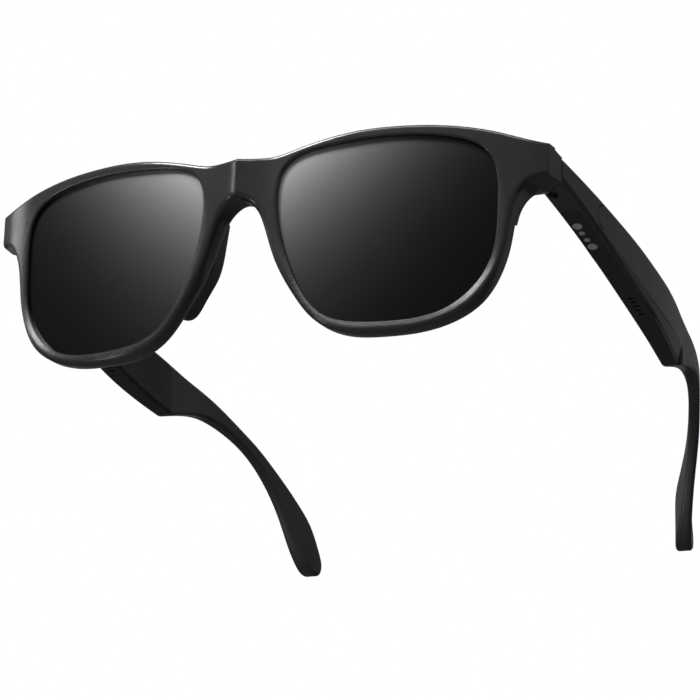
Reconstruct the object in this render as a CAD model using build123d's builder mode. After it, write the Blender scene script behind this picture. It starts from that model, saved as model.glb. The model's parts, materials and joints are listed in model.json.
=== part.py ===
"""Audio smart glasses: a one-piece front with two lenses, and two folding temples that hold the electronics.

Everything is drawn in the lens frame, in millimetres: X towards the wearer's left, Y from the front of the
bridge back along the temples, Z up, with the lens plane upright and the bridge at the origin. At the end the
whole assembly is stood on a table, on the undersides of the rims and the two ear tips, with the middle of
its footprint at the origin. Left means the wearer's left. The right-hand parts are mirror images.
"""
import math
import os

from build123d import *

# ---- front ----------------------------------------------------------------------------------------------
FRONT_RADIUS = 257.0  # the front is bent about an upright cylinder of this radius
RIM_ROUND = 1.2  # rounding of the rim's outer edges in front
TOP_ROUND = 0.6
BACK_ROUND = 0.7
LIP_ROUND = 0.4  # rounding of the edges round the lenses
BRIDGE_RIDGE = 2.3  # how far the middle of the bridge stands proud of the rims
BRIDGE_BACK = 6.0
END_CORNER = (73.0, 12.9)  # sharp vertical corner of the end piece, seen from above
SEAM_OUTER = (74.0, 19.3)  # where the end piece meets the temple, outside
SEAM_INNER = (69.3, 21.85)  # the same joint face, inside
END_TOP = 19.9
TALL = 40.0  # half height of the blanks that are trimmed to an outline

# ---- lenses and nose pads -------------------------------------------------------------------------------
LENS_RECESS = 1.2  # lens surface behind the front face
LENS_THICKNESS = 1.8
LENS_TONGUE = 0.7  # how far the lens edge enters the rim's groove
PAD_FRONT = 4.2
PAD_BACK = 11.2
PAD_LEAN = 0.9  # the pad's back stands this much further from the nose than its front
PAD_ROUND = 0.6

# ---- hinge ----------------------------------------------------------------------------------------------
PIVOT = (70.0, 24.3)
PIVOT_RADIUS = 0.7
KNUCKLE_RADIUS = 1.7
BARREL_RADIUS = 2.3  # rounded inner corner of the temple, about the pivot
RUNNING_GAP = 0.05
HINGE_MIDDLE = 14.5  # height of the middle of the tongue
TONGUE_HEIGHT = 1.8
SLOT_HEIGHT = 2.0
FORK_PLATE = 0.7
FORK_BACK = 28.2
SCREW_HEAD_RADIUS = 1.1
SCREW_HEAD_HEIGHT = 0.7
LEAF_SCREW = (68.0, 18.9)  # the screw that holds the hinge tongue in the end piece

# ---- temples --------------------------------------------------------------------------------------------
ARM_ROUND = 1.0  # rounding of the temple's upper edges, the arm and the ear tip
WALL = 1.3
COVER = 1.0  # thickness of the inner and bottom covers
COVER_FRONT = 31.0
COVER_END = 101.0
CAVITY_FRONT = 33.0
CAVITY_END = 99.0
BAY_GAP = 0.15  # assembly clearance round the parts in the housing

# ---- charging contacts and speaker ----------------------------------------------------------------------
CHARGE_SLOPE = 0.3192  # fall of the flat charging face per millimetre along the temple
MAGNETS = [(71.7, 36.4), (72.7, 44.4)]
PINS = [(71.9, 39.1), (72.3, 41.75)]
MAGNET_RADIUS = 1.2
PIN_RADIUS = 0.73
CONTACT_LENGTH = 1.5
SLOT_COUNT = 5
SLOT_PITCH = 1.8
FIRST_SLOT = (74.75, 67.0)
SLOT_SIZE = (1.7, 0.8)

TEMPLE_REACH = 161.0  # rim bottoms to ear tips, along the temple
LEDGE = 0.9  # what the housing leaves of the bottom cover's width for the cover to sit on
MIC_PORT = (35.1, 11.8)
TOUCH_CENTRE = (40.6, 10.7)
TOUCH_RADIUS = 2.9
TOUCH_FLOOR = 76.25
BOARD_X = 72.75
BOARD_THICKNESS = 0.75
SPEAKER_PLANE = Plane((74.85, 71, -1.0), x_dir=(1, 0, 0), z_dir=(0, 0.257, 1))
BAND_LEAN = 1.1  # inward lean of the flat band at its rear end
CHARGE_PLANE = Plane((72, 40, 6.4536), x_dir=(1, 0, 0), z_dir=(0, -CHARGE_SLOPE, -1))  # the flat charging face

# Outlines of the left half. Front view points are (x, z), plan points (x, y), side view points (y, z).
TOP_LINE = [(4.9, 20.5), (9, 20.7), (14, 21.9), (20, 23.4), (30, 25.0), (40, 25.3), (53, 24.3), (62.7, 22.3)]
TOP_LINE += [(69, 20.6), (76, 20.0)]
UNDER_LINE = [(76, 12.2), (72, 11.7), (69.0, 10.3), (66.7, 7.0), (65.3, 2.0), (64.3, -4.3), (62.3, -11.2)]
UNDER_LINE += [(58.2, -18.0), (51.5, -22.5), (43.5, -24.6), (35.5, -25.0), (27, -24.2), (20.6, -21.2)]
UNDER_LINE += [(14.4, -14), (9.4, -5), (6.6, 3.2), (4.6, 7.8), (2.3, 10.1)]
LENS_OPENING = [(35.55, 22.95), (48.8, 22.2), (60.0, 17.6), (62.4, 4), (60.2, -10.5), (52.2, -19.4)]
LENS_OPENING += [(36.0, -22.4), (21.95, -19.5), (13.5, -7.0), (9.9, 7.4), (11.8, 18.0), (22.7, 21.9)]
PAD_OUTLINE = [(6.8, 8.4), (7.6, 2.4), (9.0, -4.0), (12.4, -10.0), (16.6, -14.2), (18.8, -13.4)]
PAD_OUTLINE += [(16.6, -9.0), (13.6, -3.4), (11.7, 2.6), (10.3, 8.4), (8.4, 10.2)]
FRONT_PLAN = [(2.2, -1.35), (4.4, -0.7), (6.6, -0.15), (9.5, 0.2), (20, 0.78), (40, 3.1), (57, 6.35)]
BACK_PLAN = [(7, 5.9), (12, 5.1), (20, 5.5), (40, 7.8), (52, 9.9), (60, 11.9), (67, 14.2), (73.3, 16.6)]
BLOCK_PLAN = [(56, 9), (59.4, 13.2), (62.6, 18.6), (64.8, 21.85)]
BLOCK_UNDER = [(21.85, 11.0), (18.6, 10.1), (15.6, 6.8), (13.9, 1.0)]
TEMPLE_OUTER = [(75.1, 26), (76.3, 36), (77.4, 48), (78.2, 62), (78.4, 74), (78.1, 86), (77.2, 97), (76.0, 108)]
TEMPLE_OUTER += [(75.3, 115), (74.4, 122), (72.9, 130), (70.8, 137.4), (68.6, 144.2), (66.4, 150), (64.1, 154.4)]
TEMPLE_OUTER += [(62.1, 158), (60.8, 161), (59.9, 164), (59.2, 168), (58.6, 172)]
TEMPLE_INNER = [(67.7, 24.3), (69.4, 36), (70.7, 48), (71.5, 61), (72.0, 75), (71.9, 90), (71.2, 104)]
TEMPLE_INNER += [(70.7, 115), (70.2, 122), (69.2, 130), (67.5, 137.4), (65.4, 144.2), (63.2, 150), (60.9, 154.4)]
TEMPLE_INNER += [(58.4, 158), (56.3, 161), (55.2, 164), (54.6, 168), (54.4, 172)]
TEMPLE_TOP = [(19, 18.6), (28, 17.0), (38.7, 15.2), (50.5, 13.3), (63.7, 11.4), (79, 9.2), (94, 7.3), (108, 4.7)]
ARM_TOP = [(120, 2.8), (130.5, 0), (138.5, -3.6), (145.5, -7.6), (151.6, -12.5), (157, -18.5), (161, -24.6)]
TIP_END = [(164.3, -30.2), (167, -35), (168.4, -38.8), (167.3, -41.4), (164.2, -41.8), (161, -39.4)]
ARM_UNDER = [(158.6, -35.8), (155, -27.7), (152, -21.4), (148, -15.5), (143, -10.9), (136.6, -7.3), (129, -4.9)]
ARM_UNDER += [(121.5, -4.2), (115, -5.0), (108.8, -6.5), (103.5, -8.0)]
HOUSING_UNDER = [(48, 3.9), (61, 0.4), (75, -3.2), (88, -5.9), (101, -8.15)]
COVER_OUTER = [(73.9, 28), (74.9, 38), (76.1, 48), (77.1, 60), (77.75, 74), (77.3, 88), (76.0, 101.5)]
# The flat band along the lower outside edge of the housing: y, height of its upper edge, and of its lower edge.
BAND = [(34, 8.6, 8.2), (50, 4.5, 3.3), (64, 1.7, -0.4), (79, -0.7, -4.1), (90, -1.7, -6.4), (103.5, -2.7, -8.4)]


def shifted(points, dx=0.0, dy=0.0):
    """The same points, moved."""
    return [(x + dx, y + dy) for x, y in points]


def outer_x(y):
    """Distance of the temple's outside face from the middle plane, at y, in the housing."""
    points = [(74.3, 21)] + TEMPLE_OUTER
    for (x0, y0), (x1, y1) in zip(points, points[1:]):
        if y0 <= y <= y1:
            return x0 + (x1 - x0) * (y - y0) / (y1 - y0)
    raise ValueError(y)


def under_z(y):
    """Height of the flat charging face at y."""
    return HOUSING_UNDER[0][1] + CHARGE_SLOPE * (HOUSING_UNDER[0][0] - y)


def on_charging_face(points):
    """Plan points, as places on the flat charging face."""
    return [CHARGE_PLANE.to_local_coords(Vector(x, y, under_z(y))) for x, y in points]


def flipped(points):
    """The mirror images of a left half outline's points, in the opposite order."""
    return [(-x, y) for x, y in reversed(points)]


def outset(points, amount):
    """A closed clockwise outline's points, moved outwards square to the outline."""
    moved = []
    for before, point, after in zip(points[-1:] + points[:-1], points, points[1:] + points[:1]):
        run, rise = after[0] - before[0], after[1] - before[1]
        length = math.hypot(run, rise)
        moved.append((point[0] - amount * rise / length, point[1] + amount * run / length))
    return moved


def bent_slab(front, thickness):
    """A slab bent like the front, its face the given distance behind the front's own."""
    with BuildPart() as slab:
        with BuildSketch(Plane.XY.offset(-TALL)):
            with Locations((0, FRONT_RADIUS)):
                Circle(FRONT_RADIUS - front)
                Circle(FRONT_RADIUS - front - thickness, mode=Mode.SUBTRACT)
            with Locations((0, front)):
                Rectangle(2 * TALL + 70, TALL, mode=Mode.INTERSECT)
        extrude(amount=2 * TALL)
    return slab.part


def raised(points, amount):
    """The side view points, moved up."""
    return [(y, z + amount) for y, z in points]


def blank_between(inner, outer, low, high, front, end):
    """What lies in the temple between two plan lines and two side view lines, from front to end."""
    with BuildPart() as region:
        with BuildSketch(Plane.XY.offset(-TALL)):
            with BuildLine():
                Spline(*inner)
                Spline(*outer)
                Line(inner[0], outer[0])
                Line(inner[-1], outer[-1])
            make_face()
        extrude(amount=2 * TALL)
        with BuildSketch(Plane.YZ):
            with BuildLine():
                Spline(*low)
                Spline(*high)
                Line(low[0], high[0])
                Line(low[-1], high[-1])
            make_face()
        extrude(amount=3 * TALL, mode=Mode.INTERSECT)
        with BuildSketch(Plane.YZ):
            with Locations(((front + end) / 2, 0)):
                Rectangle(end - front, 2 * TALL)
        extrude(amount=3 * TALL, mode=Mode.INTERSECT)
    return region.part


# ---- the front ------------------------------------------------------------------------------------------
with BuildPart() as front_slab:
    with BuildSketch(Plane.XY.offset(-TALL)):
        with BuildLine():
            face = FRONT_PLAN + [(66, 9.1), END_CORNER]
            for flank in (face, [(-x, y) for x, y in face]):
                Spline((0, -BRIDGE_RIDGE), *flank)
            Spline(*flipped(BACK_PLAN), (0, BRIDGE_BACK), *BACK_PLAN)
            for side in (1, -1):
                Line((side * END_CORNER[0], END_CORNER[1]), (side * BACK_PLAN[-1][0], BACK_PLAN[-1][1]))
        make_face()
    extrude(amount=2 * TALL)

# The hinge block behind the left end piece, before it is trimmed to the front's outline.
with BuildPart() as hinge_block:
    with BuildSketch(Plane.XY.offset(-TALL)):
        with BuildLine():
            Spline(*BLOCK_PLAN)
            Polyline(BLOCK_PLAN[-1], SEAM_INNER, SEAM_OUTER, END_CORNER, BLOCK_PLAN[0])
        make_face()
    extrude(amount=2 * TALL)
    with BuildSketch(Plane.YZ):
        with BuildLine():
            Spline(*BLOCK_UNDER)
            Polyline(BLOCK_UNDER[-1], (5, 1), (5, 30), (13.4, 30), (13.4, END_TOP), (24, END_TOP - 2.5), (24, 11),
                     BLOCK_UNDER[0])
        make_face()
    extrude(amount=2 * TALL, mode=Mode.INTERSECT)

# The tongue of the hinge, anchored in the end piece and bored for the pivot.
with BuildPart() as hinge_tongue:
    with BuildSketch(Plane.XY.offset(HINGE_MIDDLE - TONGUE_HEIGHT / 2)):
        with Locations(PIVOT):
            Circle(KNUCKLE_RADIUS)
        with BuildLine():
            Polyline(
                (PIVOT[0] - KNUCKLE_RADIUS, PIVOT[1]),
                (PIVOT[0] - KNUCKLE_RADIUS, 20.8),
                (66.2, 20.8),
                (66.2, 16.6),
                (PIVOT[0] + KNUCKLE_RADIUS, 16.6),
                (PIVOT[0] + KNUCKLE_RADIUS, PIVOT[1]),
                close=True,
            )
        make_face()
        with Locations(PIVOT):
            Circle(PIVOT_RADIUS + RUNNING_GAP, mode=Mode.SUBTRACT)
        with Locations(LEAF_SCREW):
            Circle(PIVOT_RADIUS, mode=Mode.SUBTRACT)
    extrude(amount=TONGUE_HEIGHT)

# The screw that holds the tongue in the end piece, put in from below.
with BuildPart() as leaf_screw:
    with BuildSketch(Plane.XY.offset(HINGE_MIDDLE - TONGUE_HEIGHT / 2 - SCREW_HEAD_HEIGHT)):
        with Locations(LEAF_SCREW):
            Circle(SCREW_HEAD_RADIUS)
    extrude(amount=SCREW_HEAD_HEIGHT)
    head_edge = leaf_screw.edges().sort_by(Axis.Z)[0]
    chamfer(head_edge, 0.15)
    with BuildSketch(Plane.XY.offset(HINGE_MIDDLE - TONGUE_HEIGHT / 2)):
        with Locations(LEAF_SCREW):
            Circle(PIVOT_RADIUS)
    extrude(amount=TONGUE_HEIGHT + 1.6)
    with BuildSketch(Plane.XY.offset(HINGE_MIDDLE - TONGUE_HEIGHT / 2 - SCREW_HEAD_HEIGHT)):
        with Locations(LEAF_SCREW):
            Rectangle(1.5, 0.3)
            Rectangle(0.3, 1.5)
    extrude(amount=0.35, mode=Mode.SUBTRACT)

with BuildPart() as lens:
    add(bent_slab(LENS_RECESS, LENS_THICKNESS))
    with BuildSketch(Plane.XZ):
        with BuildLine():
            Spline(*outset(LENS_OPENING, LENS_TONGUE), periodic=True)
        make_face()
    extrude(amount=TALL, both=True, mode=Mode.INTERSECT)

# The left half of the front, up to the middle plane, where the ridge of the bridge is.
with BuildPart() as front_half:
    add(front_slab.part)
    add(hinge_block.part)
    with BuildSketch(Plane.XZ):
        with BuildLine():
            Spline(*flipped(TOP_LINE), (0, 20.5), *TOP_LINE)
            Spline(*flipped(UNDER_LINE[::-1]), (0, 10.9), *reversed(UNDER_LINE))
            for side in (1, -1):
                Line((side * TOP_LINE[-1][0], TOP_LINE[-1][1]), (side * UNDER_LINE[0][0], UNDER_LINE[0][1]))
        make_face()
        with Locations((TALL, 0)):
            Rectangle(2 * TALL, 2 * TALL, mode=Mode.INTERSECT)
        with BuildLine():
            Spline(*LENS_OPENING, periodic=True)
        make_face(mode=Mode.SUBTRACT)
    extrude(amount=TALL, both=True, mode=Mode.INTERSECT)
    faces_by_area = front_half.faces().sort_by(SortBy.AREA)
    front_face = faces_by_area.filter_by(lambda f: f.normal_at(f.center()).Y < -0.8)[-1]
    rim_edges = [edge for edge in front_face.outer_wire().edges() if abs(edge.tangent_at(0.5).Z) < 0.9]
    fillet([edge for edge in rim_edges if edge.center().Z < 15], RIM_ROUND)
    fillet([edge for edge in rim_edges if edge.center().Z > 15], TOP_ROUND)
    faces_by_area = front_half.faces().sort_by(SortBy.AREA)
    front_face = faces_by_area.filter_by(lambda f: f.normal_at(f.center()).Y < -0.8)[-1]
    fillet([edge for wire in front_face.inner_wires() for edge in wire.edges()], LIP_ROUND)
    faces_by_area = front_half.faces().sort_by(SortBy.AREA)
    back_face = faces_by_area.filter_by(lambda f: f.normal_at(f.center()).Y > 0.8)[-1]
    fillet([edge for edge in back_face.outer_wire().edges() if edge.length > 30], BACK_ROUND)
    add(lens.part, mode=Mode.SUBTRACT)
    add(hinge_tongue.part, mode=Mode.SUBTRACT)
    # The fixing hole, counterbored from below so that the screw head sits deep inside.
    with BuildSketch(Plane.XY):
        with Locations(LEAF_SCREW):
            Circle(PIVOT_RADIUS)
    extrude(amount=HINGE_MIDDLE + TONGUE_HEIGHT / 2 + 1.6, mode=Mode.SUBTRACT)
    with BuildSketch(Plane.XY.offset(8)):
        with Locations(LEAF_SCREW):
            Circle(SCREW_HEAD_RADIUS + 0.1)
    extrude(amount=HINGE_MIDDLE - TONGUE_HEIGHT / 2 - 8, mode=Mode.SUBTRACT)

with BuildPart() as front_frame:
    add(front_half.part)
    mirror(about=Plane.YZ)

with BuildPart() as nose_pad:
    for depth, lean in ((PAD_FRONT, 0), (PAD_BACK, PAD_LEAN)):
        with BuildSketch(Plane.XZ.offset(-depth)):
            with BuildLine():
                Spline(*shifted(PAD_OUTLINE, dx=lean), periodic=True)
            make_face()
    loft()
    fillet(nose_pad.faces().sort_by(Axis.Y)[-1].edges(), PAD_ROUND)
    add(front_slab.part, mode=Mode.SUBTRACT)

# ---- the left temple ------------------------------------------------------------------------------------
# The whole outside shape of housing, arm and ear tip, from its side view and its plan.
with BuildPart() as temple_blank:
    with BuildSketch(Plane.XY.offset(-2 * TALL)):
        with BuildLine():
            across = Vector(SEAM_INNER[0] - SEAM_OUTER[0], SEAM_INNER[1] - SEAM_OUTER[1]).normalized()
            outward = Vector(-across.Y, across.X)
            touch = Vector(*PIVOT) + outward * BARREL_RADIUS
            reach = (SEAM_OUTER[0] + 0.15 - touch.X) / across.X
            seam_corner = touch + across * reach
            Line(seam_corner, touch)
            RadiusArc(touch, TEMPLE_INNER[0], BARREL_RADIUS)
            Spline(*TEMPLE_INNER)
            Line(TEMPLE_INNER[-1], TEMPLE_OUTER[-1])
            Spline(*reversed(TEMPLE_OUTER), seam_corner)
        make_face()
    extrude(amount=4 * TALL)
    with BuildSketch(Plane.YZ):
        with BuildLine():
            Spline(*TEMPLE_TOP, *ARM_TOP, *TIP_END, *ARM_UNDER)
            Spline(HOUSING_UNDER[-1], (102.3, -8.25), ARM_UNDER[-1])
            Spline(*HOUSING_UNDER)
            under_start = (TEMPLE_TOP[0][0], HOUSING_UNDER[0][1] + CHARGE_SLOPE * (HOUSING_UNDER[0][0] - 19))
            Polyline(HOUSING_UNDER[0], under_start, TEMPLE_TOP[0])
        make_face()
    extrude(amount=3 * TALL, mode=Mode.INTERSECT)
    fillet([edge for edge in temple_blank.edges() if edge.length > 150], ARM_ROUND)
    # The flat band that is cut off the lower outside edge of the housing, widening to the rear.
    for y, upper, lower in BAND:
        edge_x = outer_x(y)
        lean_x = edge_x - BAND_LEAN * (upper - lower) / (BAND[-1][1] - BAND[-1][2])
        with BuildSketch(Plane.XZ.offset(-y)):
            with BuildLine():
                Polyline((edge_x, upper), (lean_x - 0.3, lower - 1.5), (edge_x + 3, lower - 1.5), (edge_x + 3, upper),
                         close=True)
            make_face()
    loft(mode=Mode.SUBTRACT)

housing_top = [(18, 18.8)] + TEMPLE_TOP[1:]
housing_under = [(22, 3.9 + 26 * CHARGE_SLOPE), (35, 3.9 + 13 * CHARGE_SLOPE)] + HOUSING_UNDER + [(108, -9.3)]
inner_plan = TEMPLE_INNER[:8]


# The openings in the housing that the two covers fill.
with BuildPart() as bottom_opening:
    add(
        blank_between(
            shifted(inner_plan, -3), COVER_OUTER, raised(housing_under, -3), raised(housing_under, COVER),
            COVER_FRONT, COVER_END,
        )
    )
    add(temple_blank.part, mode=Mode.INTERSECT)

with BuildPart() as inner_opening:
    add(
        blank_between(
            shifted(inner_plan, -3), shifted(inner_plan, COVER), raised(housing_under, COVER),
            raised(housing_top, -WALL), COVER_FRONT, COVER_END,
        )
    )
    add(temple_blank.part, mode=Mode.INTERSECT)

# The strip that closes the housing from below. It carries the contacts and the sound slots.
with BuildPart() as bottom_cover:
    add(bottom_opening.part)
    with BuildSketch(Plane.XY.offset(-TALL)):
        for number in range(SLOT_COUNT):
            with Locations((FIRST_SLOT[0] + 0.09 * number, FIRST_SLOT[1] + SLOT_PITCH * number)):
                SlotOverall(SLOT_SIZE[0], SLOT_SIZE[1])
    extrude(amount=2 * TALL, mode=Mode.SUBTRACT)
    with BuildSketch(CHARGE_PLANE):
        with Locations(*on_charging_face(MAGNETS)):
            Circle(MAGNET_RADIUS)
        with Locations(*on_charging_face(PINS)):
            Circle(PIN_RADIUS)
    extrude(amount=4, both=True, mode=Mode.SUBTRACT)

# The panel that closes the housing from the side of the wearer's head.
with BuildPart() as inner_cover:
    add(inner_opening.part)
    with BuildSketch(Plane.YZ):
        with Locations(MIC_PORT):
            Circle(0.4)
    extrude(amount=3 * TALL, mode=Mode.SUBTRACT)

# The steel fork that is moulded into the temple's front end and takes the pivot screw.
with BuildPart() as hinge_fork:
    for height in (HINGE_MIDDLE - SLOT_HEIGHT / 2 - FORK_PLATE, HINGE_MIDDLE + SLOT_HEIGHT / 2):
        with BuildSketch(Plane.XY.offset(height)):
            with Locations(PIVOT):
                Circle(KNUCKLE_RADIUS)
            with Locations((PIVOT[0] + 0.4, (PIVOT[1] + FORK_BACK) / 2)):
                Rectangle(2.6, FORK_BACK - PIVOT[1])
            with Locations(PIVOT):
                Circle(PIVOT_RADIUS, mode=Mode.SUBTRACT)
        extrude(amount=FORK_PLATE)
    with BuildSketch(Plane.XY.offset(HINGE_MIDDLE - SLOT_HEIGHT / 2 - FORK_PLATE)):
        with Locations((PIVOT[0] + 0.4, FORK_BACK - 0.6)):
            Rectangle(2.6, 1.2)
    extrude(amount=SLOT_HEIGHT + 2 * FORK_PLATE)

# The pivot screw, put in from below.
with BuildPart() as hinge_screw:
    with BuildSketch(Plane.XY.offset(HINGE_MIDDLE - SLOT_HEIGHT / 2 - FORK_PLATE - SCREW_HEAD_HEIGHT)):
        with Locations(PIVOT):
            Circle(SCREW_HEAD_RADIUS)
    extrude(amount=SCREW_HEAD_HEIGHT)
    chamfer(hinge_screw.edges().sort_by(Axis.Z)[0], 0.15)
    with BuildSketch(Plane.XY.offset(HINGE_MIDDLE - SLOT_HEIGHT / 2 - FORK_PLATE)):
        with Locations(PIVOT):
            Circle(PIVOT_RADIUS)
    extrude(amount=SLOT_HEIGHT + 2 * FORK_PLATE)
    with BuildSketch(Plane.XY.offset(HINGE_MIDDLE - SLOT_HEIGHT / 2 - FORK_PLATE - SCREW_HEAD_HEIGHT)):
        with Locations(PIVOT):
            Rectangle(1.5, 0.3)
            Rectangle(0.3, 1.5)
    extrude(amount=0.35, mode=Mode.SUBTRACT)

# The moulded housing, arm and ear tip, open towards the head and downwards where the covers go.
with BuildPart() as temple_shell:
    add(temple_blank.part)
    add(bottom_opening.part, mode=Mode.SUBTRACT)
    add(inner_opening.part, mode=Mode.SUBTRACT)
    add(
        blank_between(
            shifted(inner_plan, COVER), shifted(COVER_OUTER, -LEDGE), raised(housing_under, COVER),
            raised(housing_top, -WALL), CAVITY_FRONT, CAVITY_END,
        ),
        mode=Mode.SUBTRACT,
    )
    add(hinge_fork.part, mode=Mode.SUBTRACT)
    with BuildSketch(Plane.XY.offset(HINGE_MIDDLE - SLOT_HEIGHT / 2)):
        with Locations((69, 22)):
            Rectangle(5.8, 8.2)
    extrude(amount=SLOT_HEIGHT, mode=Mode.SUBTRACT)
    with BuildSketch(Plane.XY.offset(9)):
        with Locations(PIVOT):
            Circle(SCREW_HEAD_RADIUS + 0.1)
    extrude(amount=HINGE_MIDDLE - SLOT_HEIGHT / 2 - FORK_PLATE - 9, mode=Mode.SUBTRACT)
    with BuildSketch(Plane.XY.offset(9)):
        with Locations(PIVOT):
            Circle(PIVOT_RADIUS)
    extrude(amount=HINGE_MIDDLE + SLOT_HEIGHT / 2 + FORK_PLATE - 9, mode=Mode.SUBTRACT)
    # The crescent groove that marks the touch area.
    with BuildSketch(Plane.YZ.offset(TOUCH_FLOOR)):
        with Locations(TOUCH_CENTRE):
            Circle(TOUCH_RADIUS + 0.14)
            Circle(TOUCH_RADIUS - 0.14, mode=Mode.SUBTRACT)
        with Locations((TOUCH_CENTRE[0] + TOUCH_RADIUS, TOUCH_CENTRE[1])):
            Rectangle(2 * TOUCH_RADIUS, 3 * TOUCH_RADIUS, mode=Mode.SUBTRACT)
    extrude(amount=5, mode=Mode.SUBTRACT)

# ---- what the housing holds -----------------------------------------------------------------------------
with BuildPart() as charging_magnets:
    with BuildSketch(CHARGE_PLANE):
        with Locations(*on_charging_face(MAGNETS)):
            Circle(MAGNET_RADIUS)
    extrude(amount=-CONTACT_LENGTH)

with BuildPart() as charging_pins:
    with BuildSketch(CHARGE_PLANE):
        with Locations(*on_charging_face(PINS)):
            Circle(PIN_RADIUS)
    extrude(amount=-CONTACT_LENGTH)

with BuildPart() as circuit_board:
    with BuildSketch(Plane.YZ.offset(BOARD_X)):
        with BuildLine():
            Polyline((35, 9.9), (62.5, 2.0), (62.5, 9.4), (35, 13.6), close=True)
        make_face()
    extrude(amount=BOARD_THICKNESS)
    with BuildSketch(Plane.YZ.offset(BOARD_X + BOARD_THICKNESS)):
        with Locations((48.5, 8.6)):
            Rectangle(4, 4)
        with Locations((55, 6.4)):
            Rectangle(3, 2.5)
        with Locations((59.5, 5.6)):
            Rectangle(2.5, 4.5)
    extrude(amount=0.8)

with BuildPart() as battery:
    with BuildSketch(Plane.YZ.offset(73.15)):
        with Locations((87.75, 1.5)):
            RectangleRounded(18.5, 8.0, 0.8)
    extrude(amount=2.2)
    with BuildSketch(Plane.YZ.offset(73.8)):
        with Locations((78, 1.5)):
            Rectangle(1.2, 6)
    extrude(amount=0.9)

with BuildPart() as speaker_mesh:
    with BuildSketch(SPEAKER_PLANE):
        RectangleRounded(3.2, 10.4, 0.6)
    extrude(amount=0.2)

with BuildPart() as speaker_gasket:
    with BuildSketch(SPEAKER_PLANE.offset(0.2)):
        RectangleRounded(3.2, 10.4, 0.6)
        RectangleRounded(2.2, 9.4, 0.4, mode=Mode.SUBTRACT)
    extrude(amount=0.5)

with BuildPart() as speaker:
    with BuildSketch(SPEAKER_PLANE.offset(0.7)):
        RectangleRounded(3.2, 10.4, 0.6)
    extrude(amount=2.6)
    with BuildSketch(SPEAKER_PLANE.offset(3.3)):
        RectangleRounded(2.4, 8, 0.4)
    extrude(amount=0.6)

with BuildPart() as microphone:
    with BuildSketch(Plane.YZ.offset(70.85)):
        with Locations(MIC_PORT):
            Rectangle(2.8, 2.0)
            Circle(0.3, mode=Mode.SUBTRACT)
    extrude(amount=1.0)

with BuildPart() as touch_sensor:
    add(
        blank_between(
            shifted(COVER_OUTER, -LEDGE - 0.3), shifted(COVER_OUTER, -LEDGE - 0.05), raised(housing_under, 2.6),
            raised(housing_top, -WALL - 1.2), 38.5, 46.0,
        )
    )

# ---- left and right, stood on the table -----------------------------------------------------------------
PAIRS = {
    "lens": lens, "nose_pad": nose_pad, "hinge_tongue": hinge_tongue, "leaf_screw": leaf_screw,
    "temple_shell": temple_shell, "inner_cover": inner_cover, "bottom_cover": bottom_cover,
    "hinge_fork": hinge_fork, "hinge_screw": hinge_screw, "charging_magnets": charging_magnets,
    "charging_pins": charging_pins, "circuit_board": circuit_board, "battery": battery,
    "speaker_mesh": speaker_mesh, "speaker_gasket": speaker_gasket, "speaker": speaker,
    "microphone": microphone, "touch_sensor": touch_sensor,
}
pieces = {"front_frame": front_frame.part}
for name, piece in PAIRS.items():
    pieces[name + "_left"] = piece.part
    pieces[name + "_right"] = mirror(piece.part, about=Plane.YZ)

# The lean at which the rims and the ear tips touch the table together.
lean = 6.0
for step in range(5):
    lows = [(Rot(X=lean) * part).bounding_box().min.Z for part in (front_frame.part, temple_shell.part)]
    lean -= math.degrees((lows[1] - lows[0]) / TEMPLE_REACH)
tilt = Rot(X=lean)
box = Compound(children=[tilt * piece for piece in pieces.values()]).bounding_box()
stand = Pos(-box.center().X, -box.center().Y, -box.min.Z) * tilt
os.makedirs("parts", exist_ok=True)
for name, piece in pieces.items():
    placed = stand * piece
    placed.label = name
    export_step(placed, f"parts/{name}.step")
print("lean", lean, "origin", tuple(stand.position), "size", tuple(box.size))
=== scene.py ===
"""Looks of the audio smart glasses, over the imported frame. Everything is in metres."""
import json
import math

import bmesh
import bpy
from mathutils import Matrix, Vector

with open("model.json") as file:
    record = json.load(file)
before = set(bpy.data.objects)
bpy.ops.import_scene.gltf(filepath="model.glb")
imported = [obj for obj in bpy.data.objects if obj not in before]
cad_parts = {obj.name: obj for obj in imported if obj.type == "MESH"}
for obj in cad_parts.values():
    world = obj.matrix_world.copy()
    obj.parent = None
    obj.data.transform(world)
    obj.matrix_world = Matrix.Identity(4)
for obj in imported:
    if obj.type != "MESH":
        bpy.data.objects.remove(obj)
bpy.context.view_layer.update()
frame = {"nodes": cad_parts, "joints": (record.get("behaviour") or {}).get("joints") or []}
NODES = frame["nodes"]
MM = 0.001

# ---- driving values --------------------------------------------------------------------------------------
SHARP_ANGLE = math.radians(28)  # edges sharper than this are drawn as edges
WHITE = (1, 1, 1, 1)

# How the lens colour fades, in powers of e: per metre outwards, per square metre outwards, and per metre
# upwards. The fade is partly the lens's own gradient tint and partly a painted reflection of the studio light.
LENS_TINT_AND_REFLECTION_START = -3.85
LENS_TINT_AND_REFLECTION_ACROSS = 35.0
LENS_TINT_AND_REFLECTION_CURVE = 600.0
LENS_TINT_AND_REFLECTION_DOWN = 78.0
LENS_TINT_AND_REFLECTION_PALEST = 0.3

# The rims are rounded most below ROUND_BELOW, and least above CRISP_ABOVE, in metres above the table.
ROUND_BELOW = 0.028
CRISP_ABOVE = 0.041
CRISP_SHARE = 0.3
BEVEL_SAMPLES = 8

SENSOR_WIDTH = 36.0
FOCAL_LENGTH = 133.87
NEAR, FAR = 0.01, 20.0

FLOOR_HEIGHT = -0.42
FLOOR_HALF_SIZE = 6.0
PAPER = 0.7
PAPER_GLOW = 0.4
PAPER_REFLECTED = 0.2  # how pale the floor is to every ray but the camera's own
SKY_LIGHT = 0.16
SKY_SEEN = 1.0

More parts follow.
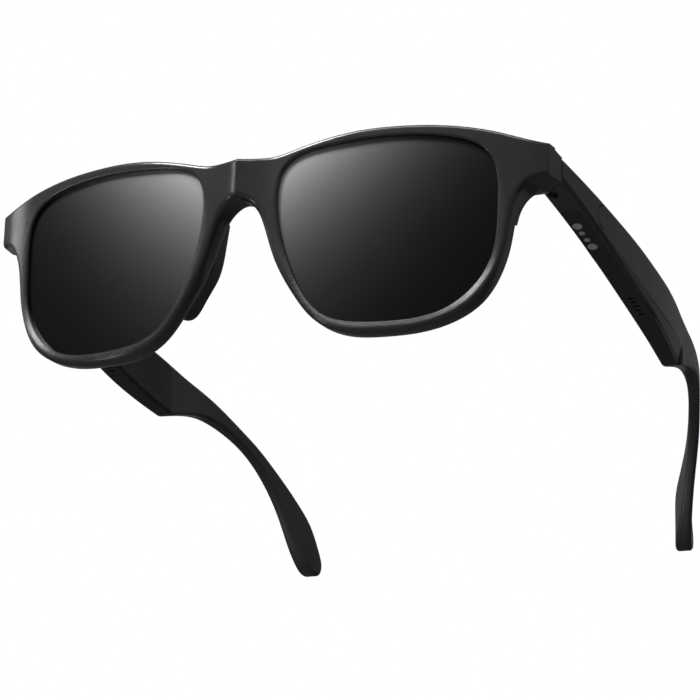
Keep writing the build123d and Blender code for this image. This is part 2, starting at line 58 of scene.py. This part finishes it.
# ---- the lens frame: the front upright, the origin at the bridge, as the front is drawn ------------------
left_joint = [j for j in frame["joints"] if j["child"] == "temple_left"][0]
tilt = math.atan2(-left_joint["axis"][1], left_joint["axis"][2])
PIVOT = Vector((70.0, 24.3, 14.5)) * MM  # the left hinge's pivot in the lens frame
TO_TABLE = Matrix.Rotation(tilt, 4, "X")
TO_TABLE.translation = Vector(left_joint["pos_m"]) - TO_TABLE.to_3x3() @ PIVOT


# ---- materials -------------------------------------------------------------------------------------------
def node(tree, kind, inputs=None, **settings):
    """Adds a shader node; inputs are numbers or the sockets that feed it."""
    made = tree.nodes.new(kind)
    for key, value in settings.items():
        setattr(made, key, value)
    for key, value in (inputs or {}).items():
        if isinstance(value, bpy.types.NodeSocket):
            tree.links.new(value, made.inputs[key])
        else:
            made.inputs[key].default_value = value
    return made


def grey(value, tint=(1.0, 1.0, 1.0)):
    return [value * part for part in tint] + [1.0]


def new_material(name):
    mat = bpy.data.materials.new(name)
    mat.use_nodes = True
    tree = mat.node_tree
    return mat, tree, tree.nodes["Principled BSDF"], node(tree, "ShaderNodeTexCoord").outputs["Object"]


def plastic(name, value, roughness, tint=(1.0, 1.0, 1.02), grain=0.15, cloud=0.12, coat=0.0, wear=0.35,
            soft=0.0):
    """Moulded plastic, a little cloudy, its gloss uneven from handling, with a fine grain and paler worn edges.

    soft is the radius that the edges seem rounded to, where they are roundest."""
    mat, tree, shader, place = new_material(name)
    shader.inputs["Coat Weight"].default_value = coat
    shader.inputs["Coat Roughness"].default_value = 0.18
    clouds = node(tree, "ShaderNodeTexNoise", {"Vector": place, "Scale": 45.0, "Detail": 5.0})
    tone = node(tree, "ShaderNodeValToRGB", {"Fac": clouds.outputs["Fac"]})
    tone.color_ramp.elements[0].position = 0.35
    tone.color_ramp.elements[1].position = 0.7
    tone.color_ramp.elements[0].color = grey(value * (1 - cloud), tint)
    tone.color_ramp.elements[1].color = grey(value * (1 + cloud), tint)
    sharpness = node(tree, "ShaderNodeNewGeometry").outputs["Pointiness"]
    edges = node(tree, "ShaderNodeMapRange", {
        "Value": sharpness, "From Min": 0.53, "From Max": 0.62, "To Max": wear,
    })
    rubbed = node(tree, "ShaderNodeTexNoise", {"Vector": place, "Scale": 600.0, "Detail": 3.0})
    worn = node(
        tree, "ShaderNodeMath", {0: edges.outputs["Result"], 1: rubbed.outputs["Fac"]}, operation="MULTIPLY",
    )
    colour = node(tree, "ShaderNodeMix", data_type="RGBA")
    tree.links.new(worn.outputs["Value"], colour.inputs["Factor"])
    tree.links.new(tone.outputs["Color"], colour.inputs[6])
    colour.inputs[7].default_value = grey(min(1.0, value * 2.2 + 0.02), tint)
    tree.links.new(colour.outputs[2], shader.inputs["Base Color"])
    marks = node(tree, "ShaderNodeTexNoise", {
        "Vector": place, "Scale": 220.0, "Detail": 7.0, "Roughness": 0.6,
    })
    gloss = node(tree, "ShaderNodeMapRange", {
        "Value": marks.outputs["Fac"], "From Min": 0.3, "From Max": 0.7,
        "To Min": roughness * 0.88, "To Max": roughness * 1.14,
    })
    tree.links.new(gloss.outputs["Result"], shader.inputs["Roughness"])
    pores = node(tree, "ShaderNodeTexNoise", {"Vector": place, "Scale": 5000.0, "Detail": 2.0})
    bump = node(tree, "ShaderNodeBump", {
        "Height": pores.outputs["Fac"], "Strength": grain, "Distance": 0.02 * MM,
    })
    if soft:
        height = node(tree, "ShaderNodeSeparateXYZ", {"Vector": place}).outputs["Z"]
        radius = node(tree, "ShaderNodeMapRange", {
            "Value": height, "From Min": ROUND_BELOW, "From Max": CRISP_ABOVE,
            "To Min": soft, "To Max": soft * CRISP_SHARE,
        })
        edge = node(tree, "ShaderNodeBevel", {"Radius": radius.outputs["Result"]}, samples=BEVEL_SAMPLES)
        tree.links.new(edge.outputs["Normal"], bump.inputs["Normal"])
    tree.links.new(bump.outputs["Normal"], shader.inputs["Normal"])
    return mat


def metal(name, colour, roughness, brushed=(1.0, 1.0, 1.0), metallic=1.0):
    """Plated or ground metal, with fine scratches along one way."""
    mat, tree, shader, place = new_material(name)
    shader.inputs["Metallic"].default_value = metallic
    stretch = node(tree, "ShaderNodeMapping", {"Vector": place, "Scale": brushed})
    lines = node(tree, "ShaderNodeTexNoise", {
        "Vector": stretch.outputs["Vector"], "Scale": 3000.0, "Detail": 4.0,
    })
    tone = node(tree, "ShaderNodeValToRGB", {"Fac": lines.outputs["Fac"]})
    tone.color_ramp.elements[0].position = 0.3
    tone.color_ramp.elements[1].position = 0.7
    tone.color_ramp.elements[0].color = [part * 0.82 for part in colour] + [1.0]
    tone.color_ramp.elements[1].color = list(colour) + [1.0]
    tree.links.new(tone.outputs["Color"], shader.inputs["Base Color"])
    gloss = node(tree, "ShaderNodeMapRange", {
        "Value": lines.outputs["Fac"], "To Min": roughness * 0.7, "To Max": roughness * 1.3,
    })
    tree.links.new(gloss.outputs["Result"], shader.inputs["Roughness"])
    bump = node(tree, "ShaderNodeBump", {
        "Height": lines.outputs["Fac"], "Strength": 0.2, "Distance": 0.01 * MM,
    })
    tree.links.new(bump.outputs["Normal"], shader.inputs["Normal"])
    return mat


def lens_tint_and_painted_reflection(name):
    """Polished sun lens, its colour palest at the top beside the nose and near black at the lower outside:
    partly its own gradient tint, partly a painted reflection of the studio light.
    """
    mat, tree, shader, place = new_material(name)
    shader.inputs["Specular IOR Level"].default_value = 0.35

    def maths(operation, *inputs):
        return node(tree, "ShaderNodeMath", dict(enumerate(inputs)), operation=operation).outputs["Value"]

    split = node(tree, "ShaderNodeSeparateXYZ", {"Vector": place})
    outward = maths("ABSOLUTE", split.outputs["X"])
    across = maths("MULTIPLY", outward, -LENS_TINT_AND_REFLECTION_ACROSS)
    across_and_down = maths("MULTIPLY_ADD", split.outputs["Z"], LENS_TINT_AND_REFLECTION_DOWN, across)
    squared = maths("POWER", outward, 2.0)
    curved = maths("MULTIPLY_ADD", squared, -LENS_TINT_AND_REFLECTION_CURVE, across_and_down)
    # Painted reflection: this base colour is the gradient tint plus a painted studio reflection, fading
    # outwards and downwards.
    tint = maths("EXPONENT", maths("ADD", curved, LENS_TINT_AND_REFLECTION_START))
    tree.links.new(maths("MINIMUM", tint, LENS_TINT_AND_REFLECTION_PALEST), shader.inputs["Base Color"])
    haze = node(tree, "ShaderNodeTexNoise", {"Vector": place, "Scale": 150.0, "Detail": 6.0})
    gloss = node(tree, "ShaderNodeMapRange", {"Value": haze.outputs["Fac"], "To Min": 0.10, "To Max": 0.2})
    tree.links.new(gloss.outputs["Result"], shader.inputs["Roughness"])
    return mat


FRAME_PLASTIC = plastic("frame plastic", 0.022, 0.2, grain=0.06, coat=0.25, soft=0.0028)
TEMPLE_PLASTIC = plastic("temple plastic", 0.03, 0.28, grain=0.08, soft=0.0012)
COVER_PLASTIC = plastic("cover plastic", 0.006, 0.42)
PAD_PLASTIC = plastic("pad plastic", 0.010, 0.48)
LENS = lens_tint_and_painted_reflection("lens tint and painted reflection")
CONTACT = metal("contact plating", (0.62, 0.61, 0.59), 0.4, metallic=0.35)
STEEL = metal("hinge steel", (0.5, 0.5, 0.51), 0.3, brushed=(1.0, 0.1, 1.0))
FOIL = metal("battery foil", (0.62, 0.62, 0.64), 0.35, brushed=(1.0, 0.05, 1.0))
COPPER = metal("sensor film", (0.75, 0.45, 0.28), 0.4)
BOARD = plastic("circuit board", 0.06, 0.4, tint=(0.15, 1.0, 0.5), cloud=0.4)
FOAM = plastic("gasket foam", 0.03, 0.9, grain=0.8)
CASE = plastic("speaker case", 0.03, 0.5)
MESH = metal("speaker mesh", (0.2, 0.2, 0.2), 0.5)

LOOKS = {
    "front_frame": FRAME_PLASTIC, "lens": LENS, "nose_pad": PAD_PLASTIC, "hinge_tongue": STEEL,
    "leaf_screw": STEEL, "temple_shell": TEMPLE_PLASTIC, "inner_cover": COVER_PLASTIC,
    "bottom_cover": COVER_PLASTIC, "hinge_fork": STEEL, "hinge_screw": STEEL, "charging_magnets": CONTACT,
    "charging_pins": CONTACT, "circuit_board": BOARD, "battery": FOIL, "speaker_mesh": MESH,
    "speaker_gasket": FOAM, "speaker": CASE, "microphone": CASE, "touch_sensor": COPPER,
}
for name, cad in NODES.items():
    look = LOOKS[name.removesuffix("_left").removesuffix("_right")]
    cad.data.materials.clear()
    cad.data.materials.append(look)
    cad.data.polygons.foreach_set("use_smooth", [True] * len(cad.data.polygons))
    cad.data.set_sharp_from_angle(angle=SHARP_ANGLE)

# ---- camera ----------------------------------------------------------------------------------------------
YAW, PITCH, ROLL = (math.radians(a) for a in (24.834, 17.142, 1.679))
CAMERA_AT = Vector((267.54, -513.03, -203.86)) * MM
aim = Vector((-math.sin(YAW) * math.cos(PITCH), math.cos(YAW) * math.cos(PITCH), math.sin(PITCH)))
level = Vector((math.cos(YAW), math.sin(YAW), 0))
upward = level.cross(aim)
right = math.cos(ROLL) * level + math.sin(ROLL) * upward
upward = -math.sin(ROLL) * level + math.cos(ROLL) * upward
pose = Matrix((right, upward, -aim)).transposed().to_4x4()
pose.translation = CAMERA_AT
camera_data = bpy.data.cameras.new("camera")
camera = bpy.data.objects.new("camera", camera_data)
bpy.context.scene.collection.objects.link(camera)
camera.matrix_world = TO_TABLE @ pose
camera_data.sensor_width = SENSOR_WIDTH
camera_data.lens = FOCAL_LENGTH
camera_data.clip_start = NEAR
camera_data.clip_end = FAR
bpy.context.scene.camera = camera
bpy.context.scene.view_settings.view_transform = "Standard"

# ---- floor, sky and lights -------------------------------------------------------------------------------
world = bpy.data.worlds.new("studio")
bpy.context.scene.world = world
world.use_nodes = True
sky = world.node_tree
background = sky.nodes["Background"]
background.inputs["Color"].default_value = WHITE
background.inputs["Strength"].default_value = SKY_LIGHT
backdrop = node(sky, "ShaderNodeBackground", {"Color": WHITE, "Strength": SKY_SEEN})
seen = node(sky, "ShaderNodeLightPath").outputs["Is Camera Ray"]
studio = node(sky, "ShaderNodeMixShader", {
    0: seen, 1: background.outputs["Background"], 2: backdrop.outputs["Background"],
})
sky.links.new(studio.outputs["Shader"], sky.nodes["World Output"].inputs["Surface"])

floor_mesh = bpy.data.meshes.new("floor")
sheet = bmesh.new()
bmesh.ops.create_grid(sheet, x_segments=1, y_segments=1, size=FLOOR_HALF_SIZE)
sheet.to_mesh(floor_mesh)
sheet.free()
floor = bpy.data.objects.new("floor", floor_mesh)
floor.location = (0, 0, FLOOR_HEIGHT)
bpy.context.scene.collection.objects.link(floor)
FLOOR = plastic("floor", PAPER, 0.9, grain=0.0, cloud=0.01)
paper = FLOOR.node_tree
bright = paper.nodes["Principled BSDF"]
bright.inputs["Emission Color"].default_value = WHITE
bright.inputs["Emission Strength"].default_value = PAPER_GLOW
dim = node(paper, "ShaderNodeBsdfDiffuse", {"Color": grey(PAPER_REFLECTED)})
straight = node(paper, "ShaderNodeLightPath").outputs["Is Camera Ray"]
both_papers = node(paper, "ShaderNodeMixShader", {
    0: straight, 1: dim.outputs["BSDF"], 2: bright.outputs["BSDF"],
})
paper.links.new(both_papers.outputs["Shader"], paper.nodes["Material Output"].inputs["Surface"])
floor_mesh.materials.append(FLOOR)


def softbox(name, at, target, width, height, power):
    """A rectangular soft light at a point in the lens frame, facing another."""
    light = bpy.data.lights.new(name, "AREA")
    light.shape = "RECTANGLE"
    light.size = width
    light.size_y = height
    light.energy = power
    lamp = bpy.data.objects.new(name, light)
    bpy.context.scene.collection.objects.link(lamp)
    start = TO_TABLE @ Vector(at)
    towards = TO_TABLE @ Vector(target) - start
    lamp.location = start
    lamp.rotation_mode = "QUATERNION"
    lamp.rotation_quaternion = towards.to_track_quat("-Z", "Y")


softbox("overhead", (0.0, -0.6, 0.85), (0, 0.03, 0), 1.2, 0.4, 9)
softbox("upper left", (-0.38, -0.56, 0.66), (0.05, 0.0, -0.01), 0.3, 0.25, 9)
softbox("left", (-0.85, -0.13, 0.27), (0.0, 0.0, 0.0), 0.2, 0.3, 0.5)
softbox("low right", (0.50, -0.55, -0.55), (0.04, 0.0, -0.02), 0.2, 0.15, 0.7)
softbox("low left", (-0.62, -0.62, -0.42), (-0.04, 0.0, -0.02), 0.12, 0.4, 1.6)
